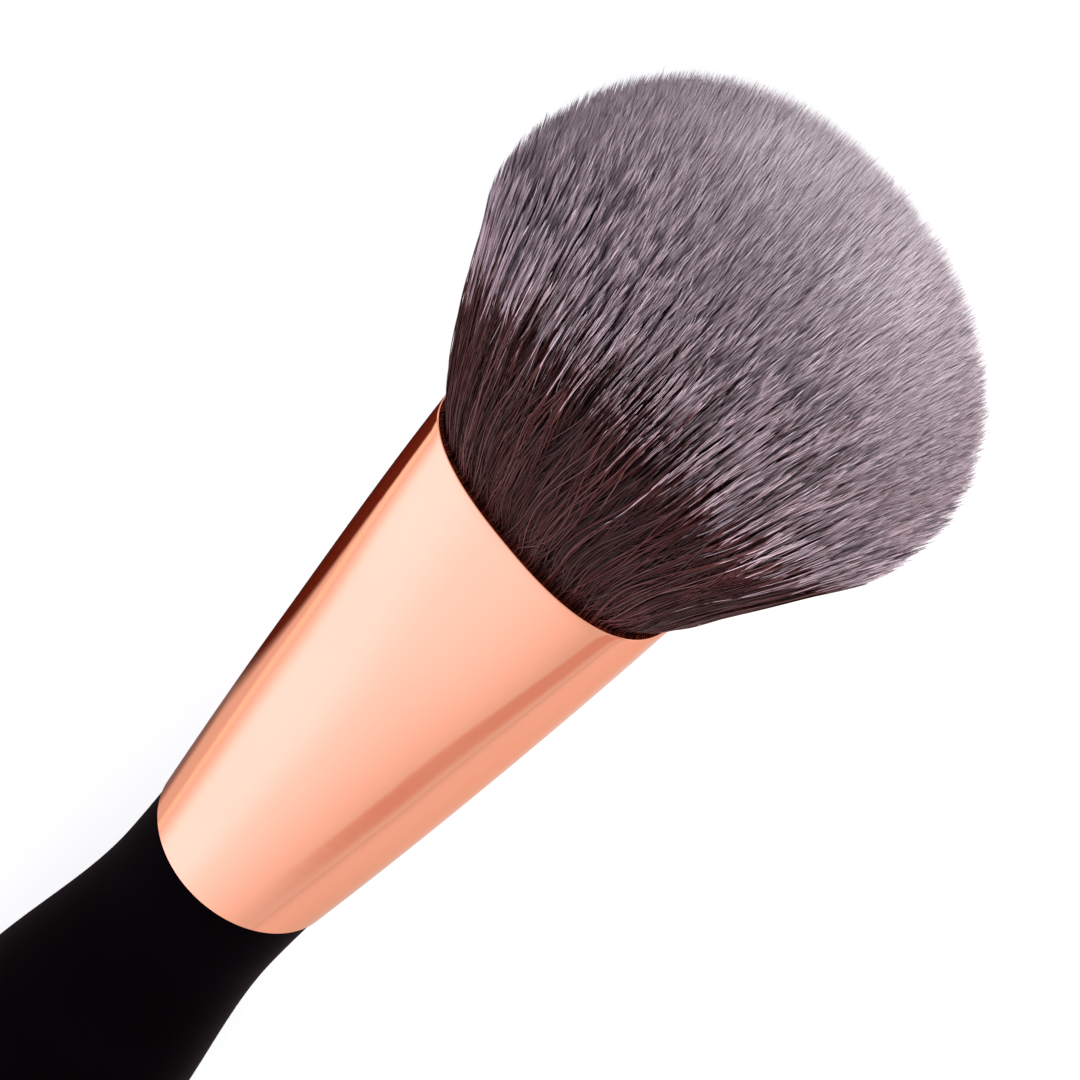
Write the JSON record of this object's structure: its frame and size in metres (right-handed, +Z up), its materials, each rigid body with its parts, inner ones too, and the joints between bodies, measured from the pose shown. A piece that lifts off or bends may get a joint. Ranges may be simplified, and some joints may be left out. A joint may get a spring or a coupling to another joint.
{
  "type": "powder brush",
  "caption": "Cosmetic powder brush with a turned handle, a metal ferrule pressed to an oval mouth and a full dome of dyed bristles.",
  "frame": {"origin": "centre of the overall box, on the surface that the brush lies on", "axes": "+X along the brush towards the bristle tips, +Y across its broad side, +Z up through its thickness; the brush's own axis rises 2.2 degrees towards the tips, as it rests on the bellies of its bristles and its handle"},
  "size_m": [0.1988, 0.0398, 0.0292],
  "materials": {
    "handle": "black soft-touch coat, satin",
    "ferrule": "polished rose-gold anodised",
    "bristles": "synthetic fibre, dark brown at the base and mauve-grey to white at the tips",
    "thread": "waxed thread",
    "resin": "cast resin",
    "adhesive": "cured adhesive"
  },
  "bodies": {
    "root": {"handle": "handle", "ferrule": "ferrule", "bristle_knot": "bristles", "knot_binding": "thread", "root_resin": "resin", "tenon_adhesive": "adhesive"}
  },
  "joints": []
}
